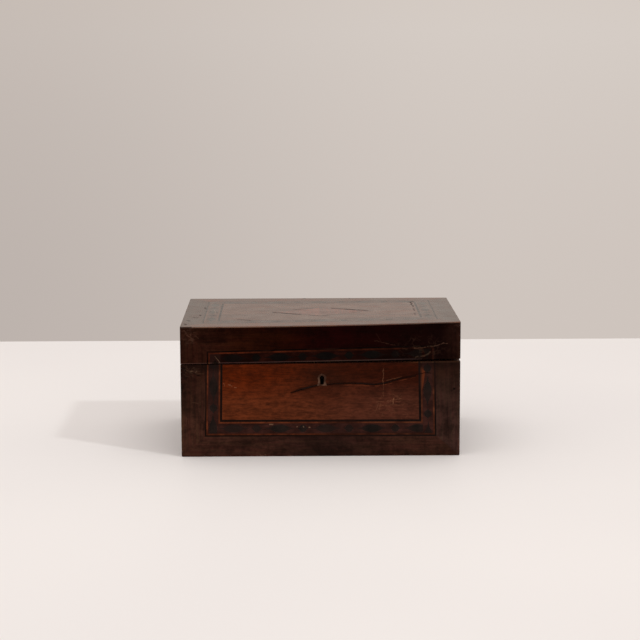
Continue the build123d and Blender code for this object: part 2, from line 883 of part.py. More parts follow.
def link_plate():
    plate = brick(around(key_x, link_length / 2), selvedge_y, (link_low, link_low + lock_metal))
    for x in staple_xs:
        outer_y = around(bolt_y, staple_width / 2)
        inner_y_pair = around(bolt_y, staple_width / 2 - staple_leg)
        staple = brick(around(x, staple_length / 2), outer_y, (staple_low, link_low))
        inner_z_pair = (tongue_low - staple_room, tongue_top + staple_room)
        staple -= brick(around(x, staple_length), inner_y_pair, inner_z_pair)
        plate += staple
    return less(plate, link_screws(screw_gap))


# Every node and its shape

base_leaf_z = (rim_height - leaf_metal, rim_height)
hinge_rods = [barrel(x - hinge_length / 2, hinge_pin_radius, hinge_length) for x in (-hinge_x, hinge_x)]
base_nodes = {
    "base_front_board": base_boards["front"],
    "base_back_board": base_boards["back"],
    "base_left_board": base_boards["left"],
    "base_right_board": base_boards["right"],
    "bottom_board": less(bottom, sprigs(screw_gap)),
    "bottom_sprigs": group(sprigs()),
    "base_rim_facing": group(base_facing),
    "base_front_border": base_ring((-half, half, 0, rim_height + spare), base_frame(0), plain),
    "base_outer_ebony_line": front_line(base_ring, base_frame, 0, ebony_line),
    "base_outer_boxwood_line": front_line(base_ring, base_frame, ebony_line, boxwood_line),
    "base_band_ground": base_ground,
    "base_band_motifs": base_motifs,
    "base_inner_boxwood_line": front_line(base_ring, base_inside, 0, boxwood_line),
    "base_inner_ebony_line": front_line(base_ring, base_inside, boxwood_line, inner_ebony),
    "base_front_panel": front_panel,
    "keyhole_escutcheon": escutcheon,
    "base_left_veneer": base_left - base_bevel,
    "base_right_veneer": base_right - base_bevel,
    "base_back_veneer": less(base_rear, [base_bevel] + hinge_spaces),
    "hinge_base_leaves": less(group(leaves(0, base_leaf_z)), hinge_screws(1, screw_gap)),
    "hinge_base_screws": group(hinge_screws(1)),
    "hinge_pins": group(hinge_rods),
    "lock_plate": lock_plate(),
    "lock_case": lock_case(),
    "lock_key_pin": key_pin,
    "lock_ward": lock_ward(),
    "lock_screws": group(lock_screws()),
}
bolt_nodes = {
    "lock_bolt": lock_bolt(),
    "bolt_spring": bolt_spring(),
}
lid_nodes = {
    "lid_front_rail": rails["front"],
    "lid_back_rail": rails["back"],
    "lid_left_rail": rails["left"],
    "lid_right_rail": rails["right"],
    "lid_top_board": lid_board,
    "lid_rim_facing": group(lid_facing),
    "lid_front_border": lid_ring((-half, half, rim_height - spare, lid_top), lid_frame(0), twisted),
    "lid_ebony_line": front_line(lid_ring, lid_frame, 0, ebony_line),
    "lid_outer_boxwood_line": front_line(lid_ring, lid_frame, ebony_line, boxwood_line),
    "lid_band_ground": lid_ground,
    "lid_band_motifs": lid_motifs,
    "lid_inner_boxwood_line": front_line(lid_ring, lid_inside, 0, boxwood_line),
    "lid_left_veneer": lid_left - lid_bevel,
    "lid_right_veneer": lid_right - lid_bevel,
    "lid_back_veneer": less(lid_rear, [lid_bevel] + hinge_spaces),
    "top_border": top_ring(0, top_border),
    "top_outer_ebony_line": top_ring(top_border, ebony_line),
    "top_outer_boxwood_line": top_ring(top_border + ebony_line, boxwood_line),
    "top_band_ground": top_ground,
    "top_band_motifs": top_motifs,
    "top_inner_boxwood_line": top_ring(top_border + band_end, boxwood_line),
    "top_inner_ebony_line": top_ring(top_border + band_end + boxwood_line, inner_ebony),
    "top_panel": cut_from_top([rectangle(top_frame(top_border + frame_width)) - diamond(0)]),
    "diamond_ebony_line": cut_from_top([diamond(0) - diamond(diamond_line)]),
    "diamond_boxwood_line": cut_from_top([diamond(diamond_line) - diamond(2 * diamond_line)]),
    "diamond_veneer": cut_from_top([diamond(2 * diamond_line)]),
    "hinge_lid_leaves": less(group(leaves(1, (lid_low, lid_low + leaf_metal))), hinge_screws(-1, screw_gap)),
    "hinge_lid_screws": group(hinge_screws(-1)),
    "lock_link_plate": link_plate(),
    "link_plate_screws": group(link_screws()),
}

for name, shape in {**base_nodes, **bolt_nodes, **lid_nodes}.items():
    export_step(shape, f"parts/{name}.step")
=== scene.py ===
from math import cos, radians, sin

import bpy
from mathutils import Matrix, Vector


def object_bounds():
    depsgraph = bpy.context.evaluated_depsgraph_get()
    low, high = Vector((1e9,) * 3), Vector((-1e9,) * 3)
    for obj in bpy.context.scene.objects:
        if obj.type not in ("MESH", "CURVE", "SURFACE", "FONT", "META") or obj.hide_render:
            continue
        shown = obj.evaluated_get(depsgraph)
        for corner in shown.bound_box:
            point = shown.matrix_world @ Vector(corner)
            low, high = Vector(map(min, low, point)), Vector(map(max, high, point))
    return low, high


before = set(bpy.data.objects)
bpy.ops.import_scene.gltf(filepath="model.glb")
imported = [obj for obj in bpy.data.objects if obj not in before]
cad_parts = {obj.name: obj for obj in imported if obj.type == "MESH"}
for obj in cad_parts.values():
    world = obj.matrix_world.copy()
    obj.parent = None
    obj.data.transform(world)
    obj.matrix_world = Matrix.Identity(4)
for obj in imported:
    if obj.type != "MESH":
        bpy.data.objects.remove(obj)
cad_low, cad_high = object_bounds()
bpy.context.scene.view_settings.view_transform = "Standard"


# Camera
# A long lens, two metres in front of the box and a little above it, turned slightly to the
# right, as the photograph was taken.

camera_data = bpy.data.cameras.new("camera")
camera = bpy.data.objects.new("camera", camera_data)
bpy.context.scene.collection.objects.link(camera)
bpy.context.scene.camera = camera
camera_data.sensor_width = 36
camera_data.lens = 105.8
turn, dip, tilt = radians(0.585), radians(9.358), radians(-0.188)
ahead = Vector((sin(turn) * cos(dip), cos(turn) * cos(dip), -sin(dip)))
level = Vector((cos(turn), -sin(turn), 0))
upward = level.cross(ahead)
aside = level * cos(tilt) + upward * sin(tilt)
over = aside.cross(ahead)
camera_spot = (-0.0209, -2.1124, 0.4828)
facing = Matrix((aside, over, -ahead)).transposed().to_4x4()
camera.matrix_world = Matrix.Translation(camera_spot) @ facing


# Floor and light
# A plain pale table top with its far edge behind the box.  One key light stands to the right
# in front and throws the shadow to the left; a pale surround and a large soft light above fill it.

class Bench:
    """Where a finish is mixed: each call sets out one node and gives back what it puts out."""

    def __init__(self, tree):
        self.tree = tree

    def node(self, kind, inputs, **settings):
        made = self.tree.nodes.new("ShaderNode" + kind)
        for name, value in settings.items():
            setattr(made, name, value)
        for key, value in inputs.items():
            if isinstance(value, bpy.types.NodeSocket):
                self.tree.links.new(value, made.inputs[key])
            else:
                made.inputs[key].default_value = value
        return made

    def maths(self, operation, *values):
        return self.node("Math", dict(enumerate(values)), operation=operation).outputs[0]

    def plus(self, one, other):
        return self.maths("ADD", one, other)

    def minus(self, one, other):
        return self.maths("SUBTRACT", one, other)

    def over(self, one, other):
        return self.maths("DIVIDE", one, other)

    def size_of(self, value):
        """The value without its sign."""
        return self.maths("ABSOLUTE", value)

    def least(self, one, other):
        return self.maths("MINIMUM", one, other)

    def times(self, first, *others):
        """The product of all values."""
        for other in others:
            first = self.maths("MULTIPLY", first, other)
        return first

    def greatest(self, first, *others):
        """The greatest of all values."""
        for other in others:
            first = self.maths("MAXIMUM", first, other)
        return first

    def scaled(self, value, factor, start):
        """The start, and factor times the value on top of it."""
        return self.maths("MULTIPLY_ADD", value, factor, start)

    def inside(self, half, place):
        """How far a place lies inside the ends of a length, of which half is given."""
        return self.minus(half, self.size_of(place))

    def vector(self, operation, *values):
        made = self.node("VectorMath", dict(enumerate(values)), operation=operation)
        return made.outputs["Value" if operation in ("LENGTH", "DOT_PRODUCT") else "Vector"]

    def point(self, x, y, z):
        return self.node("CombineXYZ", {0: x, 1: y, 2: z}).outputs[0]

    def place(self):
        """Where the spot lies on the box, in metres, as x, y and z."""
        where = self.node("TexCoord", {}).outputs["Object"]
        apart = self.node("SeparateXYZ", {0: where})
        return apart.outputs[0], apart.outputs[1], apart.outputs[2]

    def fade(self, value, start, end):
        """0 at start, 1 at end, and smooth between them."""
        inputs = {"Value": value, "From Min": start, "From Max": end}
        return self.node("MapRange", inputs, interpolation_type="SMOOTHSTEP").outputs[0]

    def noise(self, where, stretch, detail=3, rough=0.55):
        spread = self.vector("MULTIPLY", where, stretch)
        inputs = {"Vector": spread, "Scale": 1.0, "Detail": detail, "Roughness": rough}
        return self.node("TexNoise", inputs).outputs[0]

    def blend(self, share, one, other):
        return self.node("Mix", {0: share, 6: one, 7: other}, data_type="RGBA").outputs[2]

    def tones(self, value, stops):
        """Colours along a scale from 0 to 1."""
        made = self.node("ValToRGB", {0: value})
        steps = made.color_ramp.elements
        while len(steps) < len(stops):
            steps.new(0.5)
        for step, (share, colour) in zip(steps, stops):
            step.position = share
            step.color = colour
        return made.outputs[0]


def shade(red, green, blue):
    """A colour of light from its usual values between 0 and 255."""
    parts = []
    for value in (red, green, blue):
        share = value / 255
        parts.append(share / 12.92 if share <= 0.04045 else ((share + 0.055) / 1.055) ** 2.4)
    return (*parts, 1)


def finish(name):
    """A new material, its bench and its shader."""
    made = bpy.data.materials.new(name)
    made.use_nodes = True
    return made, Bench(made.node_tree), made.node_tree.nodes["Principled BSDF"]


table_paint, bench, skin = finish("pale_table_paint")
x, y, z = bench.place()
cloud = bench.noise(bench.point(x, y, 0.0), (1.2, 1.2, 1.2), 2)
paint = bench.tones(cloud, [(0.3, shade(231, 227, 226)), (0.7, shade(237, 233, 231))])
bench.tree.links.new(paint, skin.inputs["Base Color"])
skin.inputs["Roughness"].default_value = 0.6
skin.inputs["Specular IOR Level"].default_value = 0.2

table_mesh = bpy.data.meshes.new("table_top")
left_edge, right_edge, near_edge, far_edge, table_foot = -5.0, 5.0, -5.0, 0.635, -0.03
corners = [(left_edge, near_edge), (right_edge, near_edge), (right_edge, far_edge), (left_edge, far_edge)]
table_mesh.from_pydata(
    [(x, y, 0.0) for x, y in corners] + [(x, y, table_foot) for x, y in corners], [],
    [(0, 1, 2, 3), (7, 6, 5, 4), (0, 4, 5, 1), (1, 5, 6, 2), (2, 6, 7, 3), (3, 7, 4, 0)])
table_mesh.materials.append(table_paint)
table = bpy.data.objects.new("table_top", table_mesh)
bpy.context.scene.collection.objects.link(table)

surround = bpy.data.worlds.new("pale_surround")
bpy.context.scene.world = surround
surround.use_nodes = True
bench = Bench(surround.node_tree)
towards = bench.node("TexCoord", {}).outputs["Generated"]
apart = bench.node("SeparateXYZ", {0: towards})
share = bench.fade(apart.outputs[2], -0.18, 0.6)
left_glow = [(0.0, shade(188, 178, 172)), (0.12, shade(197, 187, 180)),
             (0.4, shade(208, 194, 181)), (1.0, shade(222, 216, 212))]
right_glow = [(0.0, shade(206, 196, 189)), (0.12, shade(213, 204, 197)),
              (0.4, shade(211, 195, 182)), (1.0, shade(222, 216, 212))]
darker, lighter = bench.tones(share, left_glow), bench.tones(share, right_glow)
glow = bench.blend(bench.fade(apart.outputs[0], -0.2, 0.12), darker, lighter)
background = surround.node_tree.nodes["Background"]
surround.node_tree.links.new(glow, background.inputs["Color"])


def lamp(name, kind, energy, spot, aim, **settings):
    data = bpy.data.lights.new(name, kind)
    data.energy = energy
    for key, value in settings.items():
        setattr(data, key, value)
    made = bpy.data.objects.new(name, data)
    made.location = spot
    made.rotation_mode = "QUATERNION"
    made.rotation_quaternion = (Vector(aim) - Vector(spot)).to_track_quat("-Z", "Y")
    made.visible_camera = False
    bpy.context.scene.collection.objects.link(made)


sun_spot, overhead_spot, box_foot = (1.515, -1.015, 1.444), (0, -0.4, 2.6), (0, 0, 0)
cool_white = (0.96, 1.0, 1.0)
lamp("key_light", "SUN", energy=0.66, spot=sun_spot, aim=box_foot, angle=radians(3.5), color=cool_white)
lamp("overhead_light", "AREA", energy=24.0, spot=overhead_spot, aim=box_foot, size=3.0)


# Carcass
# Four boards for the base and four rails for the lid, dovetailed at the corners, with a
# bottom board and a top board.  Bare old mahogany inside, darkened by handling and dust, and painted
# near black as shade just behind the front veneer, where the boards show in the keyhole.

def figure(bench, along, across, bands, streaks):
    """Sawn wood: bands, streaks and fine fibres that wander along the grain, and its pores."""
    flat = bench.point(along, across, 0.0)
    wander = bench.minus(bench.noise(flat, (7, 16, 1), 3), 0.5)
    bent = bench.scaled(wander, 0.014, across)
    way = bench.point(along, bent, 0.0)
    broad = bench.noise(way, (3, bands, 1), 3, 0.6)
    fine = bench.noise(way, (14, streaks, 1), 5, 0.65)
    fibre = bench.noise(way, (60, streaks * 4, 1), 3, 0.6)
    value = bench.times(broad, 0.42)
    value = bench.scaled(fine, 0.38, value)
    value = bench.scaled(fibre, 0.20, value)
    pores = bench.fade(bench.noise(way, (160, streaks * 6, 1), 2, 0.5), 0.62, 0.74)
    return value, pores


def grained(bench, grain, x, y, z):
    """Places along and across a grain that runs along x or along y, on faces of any direction."""
    if grain == "x":
        return x, bench.plus(y, z)
    return y, bench.plus(x, z)


def dress(names, material):
    for name in names:
        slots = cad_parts[name].data.materials
        slots.clear()
        slots.append(material)


def surface(bench, skin, colour, roughness, height, depth):
    """Set colour, dullness and relief; height runs from 0 to 1 and stands for depth in metres."""
    relief = bench.node("Bump", {"Strength": 1.0, "Distance": depth, "Height": height})
    bench.tree.links.new(colour, skin.inputs["Base Color"])
    bench.tree.links.new(roughness, skin.inputs["Roughness"])
    bench.tree.links.new(relief.outputs[0], skin.inputs["Normal"])


def bare_wood(name, grain):
    material, bench, skin = finish(name)
    x, y, z = bench.place()
    along, across = grained(bench, grain, x, y, z)
    value, pores = figure(bench, along, across, 40, 170)
    colour = bench.tones(value, [(0.32, shade(66, 38, 22)), (0.48, shade(100, 62, 38)),
                                 (0.6, shade(124, 82, 52)), (0.72, shade(142, 98, 64))])
    dust = bench.fade(bench.noise(bench.point(x, y, z), (22, 22, 22), 5, 0.65), 0.5, 0.75)
    colour = bench.blend(bench.times(dust, 0.35), colour, shade(96, 78, 60))
    near_foot = bench.fade(z, 0.03, 0.004)
    stain = bench.times(near_foot, bench.noise(bench.point(x, y, z), (30, 30, 30), 4))
    colour = bench.blend(stain, colour, shade(58, 38, 25))
    colour = bench.blend(bench.times(pores, 0.55), colour, shade(44, 26, 16))
    # Painted shade: near black just behind the front veneer, where the boards show in the keyhole.
    shade_behind_veneer = bench.fade(y, -0.096, -0.0975)
    colour = bench.blend(bench.times(shade_behind_veneer, 0.96), colour, shade(22, 4, 2))
    roughness = bench.scaled(value, 0.3, 0.5)
    relief = bench.minus(value, bench.times(pores, 0.5))
    surface(bench, skin, colour, roughness, relief, 0.0003)
    skin.inputs["IOR"].default_value = 1.3
    return material


long_wood = bare_wood("bare_mahogany_lengthwise", "x")
short_wood = bare_wood("bare_mahogany_across", "y")
dress(["base_front_board", "base_back_board", "lid_front_rail", "lid_back_rail"], long_wood)
dress(["bottom_board", "lid_top_board"], long_wood)
dress(["base_left_board", "base_right_board", "lid_left_rail", "lid_right_rail"], short_wood)


# Worn edges, old damage, painted shade and painted highlights
# Marks that run across several veneers: bruised corners, rubbed edges, scratches, splinters and
# nicks, with painted shade in the seam between lid and base and painted highlights along the
# lid's foot and the rim's right end.  They are drawn once on the front, by x and z, and once on
# the top, by x and y.  Lists of marks are in millimetres; all other places and sizes are in metres.

half_width, half_depth = cad_high[0], cad_high[1]
# The rim of the base and the foot and top of the lid at the left, and how much they rise to the right
rim_height, rim_rise = 0.1026, 0.0026
lid_foot, lid_top, lid_twist = 0.1032, 0.1444, 0.0045
mark_kinds = ("Pale", "Dark", "PaleEdges")


def new_marks(name):
    """A group of nodes that gives out the three kinds of marks, and its bench."""
    tree = bpy.data.node_groups.new(name, "ShaderNodeTree")
    for kind in mark_kinds:
        tree.interface.new_socket(kind, in_out="OUTPUT", socket_type="NodeSocketFloat")
    return tree, Bench(tree)


def give_out(tree, *marks):
    out = tree.nodes.new("NodeGroupOutput")
    for kind, mark in zip(mark_kinds, marks):
        tree.links.new(mark, out.inputs[kind])


def rightward(bench, x):
    """0 at the left side of the box and 1 at its right side."""
    return bench.scaled(x, 1 / (2 * half_width), 0.5)


def stroke(bench, where, start, end, reach):
    """1 on a straight scratch, fading to 0 at its reach."""
    run = Vector(end) - Vector(start)
    offset = bench.vector("SUBTRACT", where, start)
    share = bench.vector("DOT_PRODUCT", offset, tuple(run / max(run.length_squared, 1e-12)))
    share = bench.node("Clamp", {0: share}).outputs[0]
    nearest = bench.node("VectorMath", {0: tuple(run), "Scale": share}, operation="SCALE").outputs[0]
    away = bench.vector("LENGTH", bench.vector("SUBTRACT", offset, nearest))
    return bench.fade(away, reach, reach * 0.25)


def strokes(bench, where, paths):
    """All scratches together; each path has its strength, its reach and its points, in millimetres."""
    total = None
    for strength, reach, points in paths:
        spots = [(a / 1000, b / 1000, 0) for a, b in points]
        path = None
        for start, end in zip(spots, spots[1:] or spots):
            mark = stroke(bench, where, start, end, reach / 1000)
            path = mark if path is None else bench.greatest(path, mark)
        path = bench.times(path, strength)
        total = path if total is None else bench.greatest(total, path)
    return total


def shaken(bench, where, amount, stretch):
    """The same place, moved a little to and fro, so that a drawn line looks broken by hand."""
    spread = bench.vector("MULTIPLY", where, stretch)
    jolt = bench.node("TexNoise", {"Vector": spread, "Scale": 1.0, "Detail": 2.0})
    centred = bench.vector("SUBTRACT", jolt.outputs[1], (0.5, 0.5, 0.5))
    return bench.vector("ADD", where, bench.vector("MULTIPLY", centred, (amount, amount, 0)))


def patch(bench, where, centre, reach):
    """1 at a centre, fading to 0 at its reach; both are in millimetres, reach in both directions."""
    offset = bench.vector("SUBTRACT", where, (centre[0] / 1000, centre[1] / 1000, 0))
    offset = bench.vector("MULTIPLY", offset, (1000 / reach[0], 1000 / reach[1], 0))
    return bench.fade(bench.vector("LENGTH", offset), 1.0, 0.3)


def crazing(bench, where, patches):
    """Fine wandering cracks of old polish, within a few patches."""
    bent = shaken(bench, where, 0.016, (70, 70, 1))
    spread = bench.vector("MULTIPLY", bent, (150, 225, 1))
    inputs = {"Vector": spread, "Scale": 1.0}
    apart = bench.node("TexVoronoi", inputs, feature="DISTANCE_TO_EDGE").outputs[0]
    lines = bench.fade(apart, 0.07, 0.02)
    gaps = bench.fade(bench.noise(where, (90, 90, 1), 3), 0.45, 0.56)
    total = None
    for centre, reach in patches:
        area = patch(bench, where, centre, reach)
        total = area if total is None else bench.greatest(total, area)
    return bench.times(lines, gaps, total)


def rubbed_edge(bench, nearest, uneven, middle, waver, reach):
    """1 at an edge, fading to 0 at its reach; noise round its middle makes the border waver."""
    swing = bench.times(bench.minus(uneven, middle), waver)
    return bench.fade(bench.minus(nearest, swing), reach, 0.0)


front_marks, bench = new_marks("front_marks")
x, y, z = bench.place()
flat = bench.point(x, z, 0.0)
rough_flat = shaken(bench, flat, 0.004, (150, 150, 1))
to_right = rightward(bench, x)
over_lid = bench.minus(bench.minus(z, lid_foot), bench.times(to_right, lid_twist))
under_rim = bench.minus(bench.scaled(to_right, rim_rise, rim_height), z)
on_lid = bench.maths("GREATER_THAN", over_lid, -0.0002)
off_lid = bench.minus(1.0, on_lid)

# Pale: scratches, crazed polish, and scuffs at the left corners
lid_scratches = [
    (0.09, 1.2, [(103.5, 109.6), (108.0, 110.9), (113.8, 111.6), (117.0, 113.2), (119.5, 115.4)]),
    (0.15, 0.7, [(102.0, 120.3), (113.3, 121.0), (123.3, 122.2)]),
    (0.24, 0.7, [(123.3, 122.2), (130.9, 123.9), (134.0, 125.3), (138.6, 124.9)]),
    (0.1, 0.5, [(58.2, 128.0), (66.9, 126.1), (75.6, 123.7), (82.5, 122.8)]),
    (0.07, 0.5, [(61.0, 136.5), (66.0, 126.5)]),
    (0.22, 0.7, [(-115.2, 112.0), (-111.6, 108.6), (-109.4, 104.8)]),
]
panel_scratches = [
    (0.2, 0.45, [(68.0, 97.4), (68.1, 79.2)]),
    (0.12, 0.5, [(68.1, 89.0), (68.2, 66.0)]),
    (0.16, 0.5, [(71.5, 84.0), (78.0, 85.7), (87.5, 88.1)]),
    (0.14, 0.5, [(61.0, 60.8), (84.5, 61.0)]),
    (0.14, 0.5, [(60.0, 56.6), (73.0, 57.2), (86.5, 56.8)]),
    (0.45, 0.5, [(79.4, 64.7), (79.1, 58.0)]),
    (0.25, 0.5, [(-105.5, 82.5), (-104.8, 78.5)]),
    (0.3, 0.5, [(-100.8, 80.1), (-97.0, 78.6)]),
    (0.4, 0.5, [(-94.0, 77.4), (-92.1, 76.9)]),
    (0.2, 0.45, [(73.0, 62.0), (88.0, 63.8)]),
]
band_chips = [
    (0.4, 0.8, [(-55.3, 36.4), (-52.0, 35.4)]),
    (0.42, 0.9, [(-25.9, 32.3), (-25.2, 32.4)]),
    (0.42, 0.9, [(-19.3, 32.9), (-18.8, 32.6)]),
    (0.5, 0.9, [(-12.8, 32.9), (-12.1, 33.0)]),
]
border_scratches = [
    (0.4, 0.5, [(-66.6, 1.6), (-60.0, 1.8)]),
    (0.14, 0.7, [(-148.5, 140.5), (-145.0, 138.0), (-141.0, 137.4)]),
    (0.16, 0.8, [(-145.0, 134.5), (-140.5, 133.0), (-137.0, 130.6)]),
    (0.14, 0.7, [(-145.5, 128.5), (-141.0, 130.4), (-137.5, 131.0)]),
    (0.1, 0.6, [(-136.0, 135.0), (-131.5, 132.0)]),
    (0.1, 0.6, [(-147.0, 125.5), (-143.0, 126.5)]),
    (0.09, 0.7, [(-145.5, 96.6), (-142.0, 95.4), (-137.0, 95.8)]),
    (0.08, 0.6, [(-136.0, 92.2), (-131.1, 92.8), (-127.0, 92.0)]),
    (0.06, 0.6, [(-147.0, 90.6), (-143.0, 89.9)]),
    (0.08, 0.5, [(-141.0, 61.0), (-131.0, 60.0)]),
    (0.06, 0.5, [(143.5, 24.0), (146.0, 33.0)]),
]
broken = bench.fade(bench.noise(flat, (420, 420, 1), 3), 0.36, 0.52)
scratches = lid_scratches + panel_scratches + band_chips + border_scratches
pale = bench.times(strokes(bench, rough_flat, scratches), broken)
crazed_spots = [((78, 56), (38, 24)), ((108, 122), (46, 20)),
                ((-143, 133), (14, 14)), ((-141, 100), (14, 9))]
crazed = crazing(bench, flat, crazed_spots)
pale = bench.greatest(pale, bench.times(crazed, bench.scaled(on_lid, -0.03, 0.08)))
upper_scuff = patch(bench, flat, (-142, 133), (12, 13))
lower_scuff = patch(bench, flat, (-140, 94), (13, 7))
flecks = bench.fade(bench.noise(flat, (190, 342, 1), 5, 0.7), 0.5, 0.66)
pale = bench.greatest(pale, bench.times(bench.greatest(upper_scuff, lower_scuff), flecks, 0.2))

# Pale edges: abraded outer edges and bruised upper corners, the lid's foot abraded and with a painted
# highlight, and a painted highlight along the rim's right end
from_side = bench.inside(half_width, x)
from_top = bench.minus(lid_top - lid_foot, over_lid)
nearest = bench.least(bench.least(from_side, from_top), z)
uneven = bench.noise(flat, (70, 110, 1), 5, 0.65)
rub = rubbed_edge(bench, nearest, uneven, 0.55, 0.008, 0.0013)
corner = bench.vector("LENGTH", bench.point(from_side, from_top, 0.0))
dents = bench.fade(bench.noise(flat, (210, 210, 1), 5, 0.75), 0.48, 0.64)
bruise = bench.times(bench.fade(corner, 0.022, 0.003), dents)
patches = bench.fade(bench.noise(flat, (60, 20, 1), 4), 0.2, 0.5)
# The lid's foot: wear along its rounded edge together with a painted highlight.
foot_wear_and_highlight = bench.times(bench.fade(over_lid, -0.0001, 0.0002), bench.fade(over_lid, 0.0015, 0.0009))
foot_wear_and_highlight = bench.times(foot_wear_and_highlight, patches, bench.fade(x, 0.13, 0.02), on_lid)
at_right = bench.times(bench.fade(x, 0.085, 0.118), off_lid)
# A painted highlight along the rim's edge at the right end.
rim_highlight = bench.times(bench.fade(under_rim, 0.0016, 0.0008), at_right)
pale_edges = bench.greatest(rub, bench.times(bruise, 0.5), bench.times(foot_wear_and_highlight, 0.9))
pale_edges = bench.greatest(pale_edges, bench.times(rim_highlight, 0.7))

# Dark: cracks, painted shade in the seam between lid and base, and the borders at both ends darker just
# below the rim
front_cracks = [
    (0.85, 0.7, [(102.9, 89.6), (108.4, 91.6), (113.8, 92.8), (120.5, 92.7)]),
    (0.8, 0.8, [(-149.5, 96.6), (-142.0, 94.0), (-131.1, 90.3)]),
    (1.0, 1.9, [(145.4, 74.4), (145.8, 74.2)]),
    (0.7, 0.7, [(70.0, 127.4), (90.0, 121.2), (104.0, 119.0)]),
    (0.8, 0.9, [(111.0, 119.0), (119.0, 119.9), (125.0, 120.6)]),
    (0.6, 0.8, [(103.0, 122.4), (112.0, 122.9)]),
    (0.6, 1.0, [(104.5, 107.6), (114.2, 109.4), (121.3, 113.2)]),
    (0.6, 0.8, [(-113.0, 112.0), (-108.0, 106.0)]),
    (0.5, 0.6, [(-146.0, 48.0), (-144.0, 30.0)]),
    (0.5, 0.7, [(-60.0, 57.0), (-56.0, 58.0)]),
    (0.5, 0.7, [(-92.0, 53.0), (-88.0, 52.0)]),
    (0.7, 0.9, [(-151.5, 144.0), (-147.0, 144.3), (-141.0, 144.4)]),
]
# Painted shade in the seam between lid and base: a dark line just below the rim, weaker at the right end,
# and another along the lid's foot.
grime_and_seam_shade = bench.times(bench.fade(under_rim, 0.0012, 0.0002), off_lid, bench.scaled(at_right, -0.9, 1.0))
grime_and_seam_shade = bench.greatest(grime_and_seam_shade, bench.times(bench.fade(over_lid, 0.0002, -0.0001), on_lid))
# The borders at both ends are darker just below the rim, fading out over 12 mm.
darker_below_rim = bench.times(bench.fade(under_rim, 0.012, 0.003), bench.fade(bench.size_of(x), 0.1065, 0.1095))
darker_below_rim = bench.times(darker_below_rim, off_lid, bench.scaled(uneven, 0.5, 0.3))
dark = bench.greatest(strokes(bench, rough_flat, front_cracks), bench.times(grime_and_seam_shade, 0.85), darker_below_rim)
give_out(front_marks, pale, dark, pale_edges)

# The top: cracks along the diamond and the frame, dents in the left border, and scratches
top_marks, bench = new_marks("top_marks")
x, y, z = bench.place()
flat = bench.point(x, y, 0.0)
rough_flat = shaken(bench, flat, 0.006, (90, 90, 1))
top_cracks = [
    (1.0, 2.4, [(-52.0, -6.3), (-44.0, -9.4), (-34.0, -15.8), (-22.0, -22.4)]),
    (1.0, 2.4, [(14.0, 20.2), (24.0, 14.4), (42.0, 5.2), (54.0, -1.3)]),
    (0.6, 1.4, [(-12.0, -28.5), (1.6, -34.6), (12.5, -30.0)]),
    (0.7, 1.6, [(-90.8, -53.7), (-77.3, -60.4)]),
    (0.7, 1.2, [(108.0, 63.6), (107.6, 23.6)]),
    (0.5, 1.0, [(107.6, 12.6), (107.2, -10.0)]),
    (0.35, 1.0, [(107.4, -24.0), (107.0, -40.0)]),
    (0.9, 3.0, [(106.6, 63.6), (109.5, 65.0)]),
    (1.0, 2.4, [(-17.8, 101.0), (-17.0, 98.0)]),
    (1.0, 2.0, [(36.0, 101.0), (36.6, 99.0)]),
    (0.5, 1.2, [(-30.0, 11.5), (-8.2, 22.5)]),
    (0.8, 2.2, [(-151.5, -100.6), (-146.0, -101.0), (-141.0, -101.2)]),
    (0.6, 1.8, [(-135.5, -20.0), (-133.0, -26.0)]),
    (0.6, 1.8, [(-140.5, -38.0), (-137.0, -41.0)]),
    (0.5, 1.8, [(-146.5, -58.0), (-144.0, -63.0)]),
    (0.45, 2.0, [(-148.5, -80.0), (-147.0, -88.0)]),
    (0.3, 1.6, [(-131.5, 34.0), (-130.5, 22.0)]),
]
top_scratches = [
    (0.5, 0.9, [(-70.0, 30.0), (-41.0, 36.0)]),
    (0.5, 0.9, [(60.0, -52.0), (78.0, -70.0)]),
    (0.4, 0.8, [(20.0, -60.0), (24.0, -82.0)]),
    (0.5, 0.9, [(-120.0, 20.0), (-117.0, -16.0)]),
]
dark = strokes(bench, rough_flat, top_cracks)
broken = bench.fade(bench.noise(flat, (300, 300, 1), 3), 0.4, 0.56)
pale = bench.times(strokes(bench, rough_flat, top_scratches), broken)
nearest = bench.least(bench.inside(half_width, x), bench.inside(half_depth, y))
uneven = bench.noise(flat, (60, 60, 1), 5, 0.65)
pale_edges = rubbed_edge(bench, nearest, uneven, 0.54, 0.012, 0.0018)
pale_edges = bench.times(pale_edges, bench.scaled(bench.fade(x, -0.09, 0.0), -0.55, 1.0))
give_out(top_marks, pale, dark, pale_edges)


def lay_marks(bench, skin, marks, colour, roughness, height, depth, bare, scratch):
    """Lay the marks over a finish: the bare colour along pale edges, where the wood shows through the
    polish and, on the front, as painted highlights; pale scratches; and dark cracks and darkening, on the
    front partly painted shade.
    """
    damage = bench.node("Group", {}, node_tree=marks)
    pale, dark, pale_edges = [damage.outputs[kind] for kind in mark_kinds]
    colour = bench.blend(bench.times(pale_edges, 0.6), colour, bare)
    colour = bench.blend(bench.times(dark, 0.92), colour, shade(12, 6, 5))
    colour = bench.blend(pale, colour, scratch)
    roughness = bench.scaled(pale_edges, 0.25, roughness)
    roughness = bench.scaled(dark, 0.6, roughness)
    cut = bench.scaled(pale, 0.5, bench.times(dark, 1.6))
    height = bench.minus(height, cut)
    surface(bench, skin, colour, roughness, height, depth)


def polished(skin, gloss):
    """Old polish: its strength as a refractive index, and the colour it shines in from straight ahead."""
    index, red, green, blue = gloss
    skin.inputs["IOR"].default_value = index
    skin.inputs["Specular Tint"].default_value = (red, green, blue, 1)


# Gloss of the base, the lid's front and the top, each with a refractive index and a colour
base_gloss, lid_gloss, top_gloss = (1.16, 1.0, 0.6, 0.5), (1.12, 1.0, 0.4, 0.3), (1.5, 1.0, 0.95, 0.9)


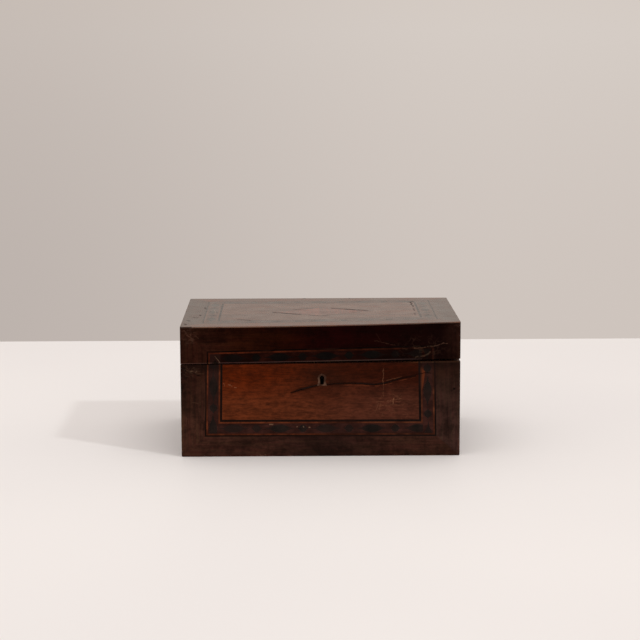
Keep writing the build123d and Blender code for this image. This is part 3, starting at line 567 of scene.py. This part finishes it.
# Border veneers
# Dark rosewood round the frames of the front and the top, mitred at the corners, with the grain
# upright at the ends and level above and below.

def toned(bench, colour, share, low, high):
    """The same colour, from low to high times as bright as the share runs from 0 to 1."""
    gain = bench.scaled(share, high - low, low)
    return bench.vector("MULTIPLY", colour, bench.point(gain, gain, gain))


def bordered(name, marks, mitre, tones, bare, scratch, dullness, depth, gloss):
    """A border whose grain turns at the mitres; mitre tells the upright strips from the level ones."""
    material, bench, skin = finish(name)
    x, y, z = bench.place()
    upright, across = mitre(bench, x, y, z)
    along_place = bench.node("Mix", {0: upright, 2: x, 3: across}).outputs[0]
    across_place = bench.node("Mix", {0: upright, 2: across, 3: x}).outputs[0]
    value, pores = figure(bench, along_place, across_place, 60, 420)
    blotch = bench.noise(bench.point(x, across, 0.0), (34, 42, 1), 6, 0.7)
    speck = bench.noise(bench.point(x, across, 0.0), (230, 230, 1), 3, 0.7)
    value = bench.scaled(blotch, 0.4, bench.times(value, 0.45))
    value = bench.scaled(speck, 0.15, value)
    share = bench.fade(value, 0.4, 0.6)
    colour = toned(bench, tones(bench, x, across, upright), share, 0.35, 1.65)
    flame = bench.noise(bench.point(along_place, across_place, 0.0), (16, 330, 1), 3, 0.6)
    maroon = bench.vector("MULTIPLY", colour, (0.9, 0.6, 0.68))
    colour = bench.blend(bench.times(bench.fade(flame, 0.45, 0.62), 0.5), colour, maroon)
    olive = bench.vector("MULTIPLY", colour, (1.0, 1.1, 0.9))
    colour = bench.blend(bench.times(bench.fade(flame, 0.48, 0.38), 0.5), colour, olive)
    colour = bench.blend(bench.times(pores, 0.5), colour, shade(14, 7, 5))
    roughness = bench.scaled(blotch, 0.3, dullness)
    relief = bench.minus(value, bench.times(pores, 0.3))
    lay_marks(bench, skin, marks, colour, roughness, relief, depth, bare, scratch)
    polished(skin, gloss)
    return material


# Widths of the border's upright and level strips, on the base and on the lid
base_upright, base_level, lid_upright, lid_level = 0.0257, 0.0223, 0.0283, 0.0265


def base_mitre(bench, x, y, z):
    side = bench.over(bench.inside(half_width, x), base_upright)
    level = bench.over(z, base_level)
    return bench.maths("LESS_THAN", side, level), z


def lid_mitre(bench, x, y, z):
    side = bench.over(bench.inside(half_width, x), lid_upright)
    edge = bench.scaled(rightward(bench, x), lid_twist, lid_top)
    level = bench.over(bench.minus(edge, z), lid_level)
    return bench.maths("LESS_THAN", side, level), z


def top_mitre(bench, x, y, z):
    side = bench.inside(half_width, x)
    level = bench.inside(half_depth, y)
    return bench.maths("LESS_THAN", side, level), y


def base_border_tones(bench, x, z, upright):
    """Darker towards the rim, redder at the left, greyer at the right, and darkest below the keyhole."""
    ends = bench.blend(bench.fade(z, 0.03, 0.09), shade(53, 32, 25), shade(38, 20, 14))
    near_rim = bench.vector("MULTIPLY", ends, (0.88, 0.72, 0.66))
    ends = bench.blend(bench.fade(z, 0.08, 0.095), ends, near_rim)
    redder = bench.vector("MULTIPLY", ends, (1.08, 1.02, 0.95))
    greyer = bench.vector("MULTIPLY", ends, (0.98, 1.14, 1.27))
    ends = bench.blend(bench.fade(x, -0.05, 0.05), redder, greyer)
    near_left = bench.fade(x, -half_width + 0.02, -half_width + 0.002)
    patchy = bench.fade(bench.noise(bench.point(x, z, 0.0), (120, 160, 1), 4, 0.65), 0.42, 0.56)
    stain = bench.times(near_left, bench.fade(z, 0.05, 0.075), patchy)
    ends = bench.blend(stain, ends, shade(24, 9, 6))
    middle = bench.fade(bench.size_of(bench.minus(x, 0.006)), 0.08, 0.0)
    foot = bench.blend(middle, shade(51, 29, 22), shade(36, 20, 16))
    return bench.blend(upright, foot, ends)


def lid_border_tones(bench, x, z, upright):
    """Brown at the left, then ever darker to the right, with a paler right end."""
    stops = [(0.0, shade(37, 18, 11)), (0.1, shade(38, 17, 10)), (0.2, shade(33, 11, 4)),
             (0.35, shade(26, 6, 1)), (0.5, shade(20, 1, 1)), (0.7, shade(14, 1, 1)),
             (0.93, shade(8, 2, 2)), (1.0, shade(30, 15, 10))]
    return bench.tones(rightward(bench, x), stops)


def top_border_tones(bench, x, y, upright):
    return bench.blend(upright, shade(78, 39, 19), shade(54, 32, 20))


base_border = bordered(
    "base_border_polish", front_marks, base_mitre, base_border_tones, bare=shade(92, 62, 44),
    scratch=shade(150, 118, 92), dullness=0.34, depth=0.0002, gloss=(1.16, 1.0, 0.65, 0.5))
lid_border = bordered(
    "lid_border_polish", front_marks, lid_mitre, lid_border_tones, bare=shade(78, 54, 48),
    scratch=shade(128, 92, 74), dullness=0.3, depth=0.0002, gloss=lid_gloss)
top_border = bordered(
    "top_border_polish", top_marks, top_mitre, top_border_tones, bare=shade(104, 74, 54),
    scratch=shade(150, 118, 92), dullness=0.12, depth=0.00006, gloss=top_gloss)
dress(["base_front_border"], base_border)
dress(["lid_front_border"], lid_border)
dress(["top_border"], top_border)


# Stringing
# Thin lines of ebony and of boxwood on both sides of the band and round the diamond.  The
# boxwood has darkened to a dull orange brown.

def stringing(name, marks, dark, light, bare, dullness, gloss, right=1.0, foot=1.0, end=1.0):
    """A line; right, foot and end say how bright it is there, against the rest of it."""
    material, bench, skin = finish(name)
    x, y, z = bench.place()
    where = bench.point(x, y, z)
    tone = bench.noise(where, (90, 90, 90), 4, 0.65)
    colour = bench.blend(bench.fade(tone, 0.35, 0.68), dark, light)
    grime_and_seam_shade = bench.fade(bench.noise(where, (24, 24, 24), 3), 0.48, 0.66)
    colour = bench.blend(bench.times(grime_and_seam_shade, 0.75), colour, shade(30, 13, 8))
    greyer = bench.vector("MULTIPLY", colour, (0.8, 1.05, 1.35))
    colour = bench.blend(bench.times(bench.fade(x, -0.02, 0.09), 0.8), colour, greyer)
    colour = toned(bench, colour, bench.fade(x, -0.12, 0.1), 1.0, right)
    colour = toned(bench, colour, bench.fade(z, 0.0255, 0.029), foot, 1.0)
    colour = toned(bench, colour, bench.fade(x, 0.1195, 0.1205), 1.0, end)
    roughness = bench.scaled(tone, 0.3, dullness)
    lay_marks(bench, skin, marks, colour, roughness, tone, 0.00008, bare, shade(140, 106, 82))
    polished(skin, gloss)
    return material


front_ebony = stringing(
    "front_ebony", front_marks, dark=shade(8, 5, 4), light=shade(20, 12, 9),
    bare=shade(52, 34, 25), dullness=0.38, gloss=base_gloss)
lid_ebony = stringing(
    "lid_ebony", front_marks, dark=shade(2, 1, 1), light=shade(9, 5, 4),
    bare=shade(44, 26, 18), dullness=0.38, gloss=(1.1, 1.0, 0.4, 0.3))
lid_greyed = stringing(
    "greyed_boxwood", front_marks, dark=shade(36, 21, 19), light=shade(58, 38, 34),
    bare=shade(78, 60, 54), dullness=0.38, gloss=(1.12, 1.0, 0.5, 0.4), right=0.9)
front_boxwood = stringing(
    "front_boxwood", front_marks, dark=shade(66, 28, 14), light=shade(100, 48, 26),
    bare=shade(120, 84, 58), dullness=0.38, gloss=base_gloss, right=0.9, foot=0.7)
lid_boxwood = stringing(
    "lid_boxwood", front_marks, dark=shade(48, 17, 8), light=shade(78, 32, 16),
    bare=shade(100, 70, 48), dullness=0.38, gloss=lid_gloss, right=0.45, end=1.9)
top_ebony = stringing(
    "top_ebony", top_marks, dark=shade(10, 6, 5), light=shade(24, 14, 10),
    bare=shade(50, 34, 26), dullness=0.15, gloss=(1.46, 1.0, 0.95, 0.9))
top_boxwood = stringing(
    "top_boxwood", top_marks, dark=shade(66, 36, 20), light=shade(92, 54, 34),
    bare=shade(116, 84, 60), dullness=0.12, gloss=top_gloss)
dress(["base_outer_ebony_line", "base_inner_ebony_line"], front_ebony)
dress(["lid_ebony_line"], lid_ebony)
dress(["base_outer_boxwood_line", "base_inner_boxwood_line"], front_boxwood)
dress(["lid_outer_boxwood_line"], lid_boxwood)
dress(["lid_inner_boxwood_line"], lid_greyed)
dress(["top_outer_ebony_line", "top_inner_ebony_line", "diamond_ebony_line"], top_ebony)
dress(["top_outer_boxwood_line", "top_inner_boxwood_line", "diamond_boxwood_line"], top_boxwood)


# Bands and their motifs
# Rosewood bands with pointed ovals and dots let into them, stained greenish and bluish black.
# The stain has faded to purple brown towards the tips.

def band_wood(name, marks, bands, stops, tint, bare, dullness, gloss):
    """Wood of a band; tint is a function that changes its colour from place to place."""
    material, bench, skin = finish(name)
    x, y, z = bench.place()
    value, pores = figure(bench, x, bench.plus(y, z), bands, 240)
    blotch = bench.noise(bench.point(x, y, z), (60, 60, 60), 4, 0.65)
    value = bench.scaled(blotch, 0.5, bench.times(value, 0.5))
    colour = tint(bench, x, y, z, bench.tones(value, stops))
    colour = bench.blend(bench.times(pores, 0.4), colour, shade(12, 7, 6))
    roughness = bench.scaled(blotch, 0.3, dullness)
    lay_marks(bench, skin, marks, colour, roughness, value, 0.00012, bare, shade(150, 118, 92))
    polished(skin, gloss)
    return material


def front_ground(shaded):
    """The front's ground: a bared splinter at the right, a darker left run, and shade to the right."""
    def tint(bench, x, y, z, colour):
        slant = bench.scaled(bench.minus(z, 0.072), 0.13, 0.1110)
        inner = bench.fade(bench.minus(x, slant), 0.0006, -0.0004)
        sideways = bench.times(inner, bench.fade(x, 0.105, 0.107))
        upright = bench.times(bench.fade(z, 0.07, 0.078), bench.fade(z, 0.1, 0.095))
        colour = bench.blend(bench.times(sideways, upright, 0.7), colour, shade(98, 44, 20))
        left_run = bench.times(bench.fade(x, -0.107, -0.110), bench.fade(z, 0.05, 0.07))
        colour = bench.blend(bench.times(left_run, 0.7), colour, shade(34, 19, 16))
        return toned(bench, colour, bench.fade(x, 0.0, 0.1), 1.0, shaded)
    return tint


def even(bench, x, y, z, colour):
    """The same colour everywhere."""
    return colour


def faded(tips, shift):
    """Motifs whose stain has faded at the tips of the ovals; shift is how far the pattern lies aside."""
    def tint(bench, x, y, z, colour):
        # Half a step puts the middle of an oval at 0.5, and ten steps keep the sum above 0
        steps = bench.over(bench.plus(x, 10.5 * motif_step - shift), motif_step)
        turn = bench.maths("FRACT", steps)
        away = bench.size_of(bench.minus(turn, 0.5))
        far = bench.times(bench.fade(away, 0.1, 0.26), bench.fade(away, 0.4, 0.36))
        far = bench.times(far, bench.fade(bench.size_of(x), 0.112, 0.108))
        colour = bench.blend(bench.times(far, 0.8), colour, tips)
        cast = bench.fade(bench.noise(bench.point(x, y, z), (34, 34, 34), 2), 0.42, 0.6)
        return bench.blend(bench.times(cast, 0.5), colour, tips)
    return tint


motif_step, front_shift = 0.0505, 0.0058
base_rosewood = [(0.4, shade(29, 13, 10)), (0.5, shade(44, 23, 19)), (0.6, shade(60, 33, 28))]
lid_rosewood = [(0.4, shade(10, 3, 2)), (0.5, shade(22, 6, 4)), (0.6, shade(38, 14, 9))]
top_rosewood = [(0.36, shade(42, 21, 13)), (0.5, shade(60, 32, 20)), (0.64, shade(76, 43, 28))]
base_stained = [(0.4, shade(13, 11, 9)), (0.5, shade(24, 18, 16)), (0.6, shade(37, 27, 24))]
lid_stained = [(0.4, shade(2, 2, 2)), (0.5, shade(5, 5, 5)), (0.6, shade(12, 11, 9))]
top_stained = [(0.36, shade(18, 15, 12)), (0.5, shade(28, 24, 19)), (0.64, shade(42, 33, 27))]
base_faded, lid_faded = faded(shade(36, 21, 18), front_shift), faded(shade(15, 7, 6), front_shift)
top_faded = faded(shade(40, 24, 19), 0.0)
base_ground = band_wood(
    "base_band_rosewood", front_marks, bands=60, stops=base_rosewood, tint=front_ground(1.0),
    bare=shade(90, 60, 44), dullness=0.36, gloss=base_gloss)
lid_ground = band_wood(
    "lid_band_rosewood", front_marks, bands=60, stops=lid_rosewood, tint=front_ground(0.5),
    bare=shade(76, 52, 50), dullness=0.34, gloss=lid_gloss)
top_ground = band_wood(
    "top_band_rosewood", top_marks, bands=60, stops=top_rosewood, tint=even,
    bare=shade(96, 68, 50), dullness=0.12, gloss=top_gloss)
base_inlay = band_wood(
    "base_motif_wood", front_marks, bands=80, stops=base_stained, tint=base_faded,
    bare=shade(60, 46, 36), dullness=0.36, gloss=(1.16, 1.0, 0.8, 0.7))
lid_inlay = band_wood(
    "lid_motif_wood", front_marks, bands=80, stops=lid_stained, tint=lid_faded,
    bare=shade(50, 36, 28), dullness=0.34, gloss=(1.12, 1.0, 0.6, 0.5))
top_inlay = band_wood(
    "top_motif_wood", top_marks, bands=80, stops=top_stained, tint=top_faded,
    bare=shade(64, 50, 40), dullness=0.13, gloss=top_gloss)
dress(["base_band_ground"], base_ground)
dress(["lid_band_ground"], lid_ground)
dress(["top_band_ground"], top_ground)
dress(["base_band_motifs"], base_inlay)
dress(["lid_band_motifs"], lid_inlay)
dress(["top_band_motifs"], top_inlay)


# Front panel
# Reddish mahogany with level grain.  Painted light makes it lighter and more orange at the lower
# left, where light bounces up from the table, and darker at the upper right.  A long crack runs
# under the keyhole; its lips are darkened with dirt and with painted shade.

front_panel, bench, skin = finish("front_panel_mahogany")
x, y, z = bench.place()
flat = bench.point(x, z, 0.0)
value, pores = figure(bench, x, z, 60, 300)
ripple = bench.noise(flat, (150, 520, 1), 4, 0.65)
mottle = bench.noise(flat, (75, 95, 1), 4, 0.6)
value = bench.scaled(ripple, 0.3, bench.times(value, 0.45))
value = bench.scaled(mottle, 0.25, value)
# Painted light: the panel is lighter and more orange low down and to the left, where light bounces up
# from the table, and darker up and to the right.
drift = bench.minus(bench.noise(flat, (14, 26, 1), 4), 0.5)
share = bench.fade(bench.scaled(drift, 0.09, x), -0.1, 0.09)
raised = bench.fade(bench.scaled(drift, 0.05, z), 0.045, 0.095)
less_lit_upper = bench.tones(share, [(0.0, shade(78, 25, 3)), (0.45, shade(58, 19, 5)), (1.0, shade(42, 11, 3))])
bounce_lit_lower = bench.tones(share, [(0.0, shade(85, 38, 18)), (0.5, shade(79, 38, 22)), (1.0, shade(68, 35, 25))])
colour = toned(bench, bench.blend(raised, bounce_lit_lower, less_lit_upper), bench.fade(value, 0.39, 0.61), 0.5, 1.5)
colour = bench.blend(bench.times(pores, 0.5), colour, shade(26, 8, 4))
keyhole_spot = (0.004, 0.0865, 0)
from_key = bench.vector("MULTIPLY", bench.vector("SUBTRACT", flat, keyhole_spot), (1, 2.0, 1))
from_key = bench.vector("LENGTH", from_key)
handled = bench.times(bench.fade(from_key, 0.045, 0.006), bench.noise(flat, (40, 70, 1), 4))
colour = bench.blend(handled, colour, shade(30, 13, 7))
crack_path = [(-31.5, 71.4), (-25.5, 73.4), (-15.5, 76.4), (-3.9, 79.3), (7.0, 80.2), (26.5, 81.6),
              (43.0, 81.2), (59.3, 80.0), (70.2, 81.4), (86.5, 86.2), (102.9, 89.6)]
# The crack's lips: dirt, and painted shade under the lifted edge of the veneer.
crack_dirt_and_shade = [(0.95, 1.9, crack_path), (0.8, 2.8, crack_path[1:4]), (0.5, 3.4, crack_path[4:8])]
lips = strokes(bench, shaken(bench, flat, 0.0016, (200, 200, 1)), crack_dirt_and_shade)
colour = bench.blend(bench.times(lips, 0.85), colour, shade(22, 5, 2))
under_crack = [(a, b - 2.0) for a, b in crack_path[5:]]
pale_lip = strokes(bench, shaken(bench, flat, 0.002, (120, 120, 1)), [(0.3, 0.7, under_crack)])
pale_lip = bench.times(pale_lip, bench.fade(bench.noise(flat, (160, 160, 1), 3), 0.42, 0.58))
colour = bench.blend(pale_lip, colour, shade(128, 66, 38))
roughness = bench.scaled(bench.noise(flat, (30, 46, 1), 4), 0.3, 0.3)
relief = bench.minus(value, bench.times(pores, 0.3))
bare, scratch = shade(110, 66, 40), shade(168, 116, 84)
lay_marks(bench, skin, front_marks, colour, roughness, relief, 0.00018, bare, scratch)
polished(skin, (1.16, 1.0, 0.55, 0.4))
dress(["base_front_panel"], front_panel)


# Top panel and diamond
# The same mahogany, kept glossier by polish, round a diamond of paler, pinker wood.

def top_veneer(name, colour, turned):
    material, bench, skin = finish(name)
    x, y, z = bench.place()
    along, across = (y, x) if turned else (x, y)
    value, pores = figure(bench, along, across, 48, 190)
    colour = toned(bench, colour[:3], bench.fade(value, 0.38, 0.62), 0.6, 1.5)
    colour = bench.blend(bench.times(pores, 0.5), colour, shade(30, 12, 7))
    swell = bench.noise(bench.point(x, y, 0.0), (18, 26, 1), 3)
    haze = bench.noise(bench.point(x, y, 0.0), (36, 48, 1), 5, 0.65)
    roughness = bench.scaled(haze, 0.3, 0.1)
    relief = bench.scaled(swell, 1.2, bench.minus(value, bench.times(pores, 0.4)))
    bare, scratch = shade(120, 80, 54), shade(168, 124, 92)
    lay_marks(bench, skin, top_marks, colour, roughness, relief, 0.00008, bare, scratch)
    polished(skin, top_gloss)
    return material


dress(["top_panel"], top_veneer("top_panel_mahogany", shade(72, 34, 13), False))
dress(["diamond_veneer"], top_veneer("diamond_mahogany", shade(84, 32, 10), True))


# Plain veneers and rim facings
# The ends and the back are plain dark mahogany; strips of the same wood cover the sawn rims.

def plain_veneer(name, grain, stops, dullness):
    material, bench, skin = finish(name)
    x, y, z = bench.place()
    along, across = grained(bench, grain, x, y, z)
    value, pores = figure(bench, along, across, 30, 150)
    blotch = bench.noise(bench.point(x, y, z), (16, 16, 22), 5, 0.66)
    value = bench.scaled(blotch, 0.4, bench.times(value, 0.62))
    colour = bench.tones(value, stops)
    colour = bench.blend(bench.times(pores, 0.5), colour, shade(18, 9, 6))
    upright_edge = bench.plus(bench.inside(half_width, x), bench.inside(half_depth, y))
    nearest = bench.least(upright_edge, bench.size_of(z))
    uneven = bench.noise(bench.point(x, y, z), (70, 70, 70), 5, 0.65)
    rub = rubbed_edge(bench, nearest, uneven, 0.5, 0.02, 0.003)
    colour = bench.blend(bench.times(rub, 0.7), colour, shade(98, 62, 42))
    scuffs = bench.fade(bench.noise(bench.point(x, y, z), (12, 12, 260), 3, 0.7), 0.68, 0.76)
    colour = bench.blend(bench.times(scuffs, 0.4), colour, shade(104, 74, 54))
    roughness = bench.scaled(blotch, 0.3, dullness)
    relief = bench.minus(value, bench.times(pores, 0.4))
    surface(bench, skin, colour, roughness, relief, 0.0002)
    skin.inputs["IOR"].default_value = 1.3
    return material


dark_stops = [(0.38, shade(30, 13, 8)), (0.5, shade(52, 26, 16)), (0.62, shade(72, 40, 26))]
rim_stops = [(0.38, shade(52, 26, 15)), (0.5, shade(78, 44, 27)), (0.62, shade(98, 60, 38))]
end_veneer = plain_veneer("end_mahogany", grain="y", stops=dark_stops, dullness=0.3)
back_veneer = plain_veneer("back_mahogany", grain="x", stops=dark_stops, dullness=0.36)
rim_wood = plain_veneer("rim_mahogany", grain="x", stops=rim_stops, dullness=0.4)
dress(["base_left_veneer", "base_right_veneer", "lid_left_veneer", "lid_right_veneer"], end_veneer)
dress(["base_back_veneer", "lid_back_veneer"], back_veneer)
dress(["base_rim_facing", "lid_rim_facing"], rim_wood)


# Brass and steel
# The escutcheon is dull, almost brown.  Lock and hinges are old brass, spotted with darker tarnish,
# with steel screws, pins, spring and sprigs.

def old_metal(name, dark, light, tarnish, dullness, keyhole_shade_size=None):
    """The last argument gives the half width and half height, in millimetres, of a spot of painted shade
    at the keyhole, for the dark inside it.
    """
    material, bench, skin = finish(name)
    x, y, z = bench.place()
    where = bench.point(x, y, z)
    tone = bench.noise(where, (260, 260, 260), 4, 0.6)
    colour = bench.blend(bench.fade(tone, 0.36, 0.64), dark, light)
    spots = bench.fade(bench.noise(where, (520, 520, 520), 5, 0.7), 0.5, 0.66)
    colour = bench.blend(bench.times(spots, 0.75), colour, tarnish)
    roughness = bench.scaled(spots, 0.3, dullness)
    # Painted shade: near black round the keyhole, for the dark inside it.
    if keyhole_shade_size:
        keyhole_shade_spot = patch(bench, bench.point(x, z, 0.0), key_middle, keyhole_shade_size)
        colour = bench.blend(keyhole_shade_spot, colour, shade(5, 4, 3))
        roughness = bench.scaled(keyhole_shade_spot, 0.4, roughness)
    drawn = bench.noise(where, (90, 2400, 2400), 3, 0.6)
    relief = bench.scaled(drawn, 0.6, bench.times(spots, -0.6))
    surface(bench, skin, colour, roughness, relief, 0.00006)
    skin.inputs["Metallic"].default_value = 1.0
    return material


key_middle = (1.6, 85.2)
escutcheon = old_metal(
    "escutcheon_brass", dark=shade(62, 40, 31), light=shade(112, 84, 68),
    tarnish=shade(36, 21, 15), dullness=0.46, keyhole_shade_size=(3.6, 6.8))
lock_brass = old_metal(
    "lock_brass", dark=shade(58, 42, 26), light=shade(92, 70, 44),
    tarnish=shade(34, 22, 14), dullness=0.42, keyhole_shade_size=(14, 12))
hinge_brass = old_metal(
    "old_brass", dark=shade(132, 96, 52), light=shade(176, 138, 84),
    tarnish=shade(70, 48, 28), dullness=0.3)
# The lock case, bolt, key pin and ward are black iron, kept near black also as painted shade for the dark
# seen through the keyhole.
lock_iron_and_keyhole_shade = old_metal(
    "lock_black_iron_and_keyhole_shade", dark=shade(10, 8, 7), light=shade(22, 19, 16),
    tarnish=shade(9, 6, 5), dullness=0.6)
steel = old_metal(
    "old_steel", dark=shade(78, 72, 66), light=shade(120, 114, 106),
    tarnish=shade(58, 36, 24), dullness=0.34)
dress(["keyhole_escutcheon"], escutcheon)
dress(["lock_plate", "lock_link_plate"], lock_brass)
dress(["hinge_base_leaves", "hinge_lid_leaves"], hinge_brass)
dress(["lock_case", "lock_bolt", "lock_key_pin", "lock_ward"], lock_iron_and_keyhole_shade)
dress(["bolt_spring", "hinge_pins", "bottom_sprigs"], steel)
dress(["lock_screws", "link_plate_screws", "hinge_base_screws", "hinge_lid_screws"], steel)
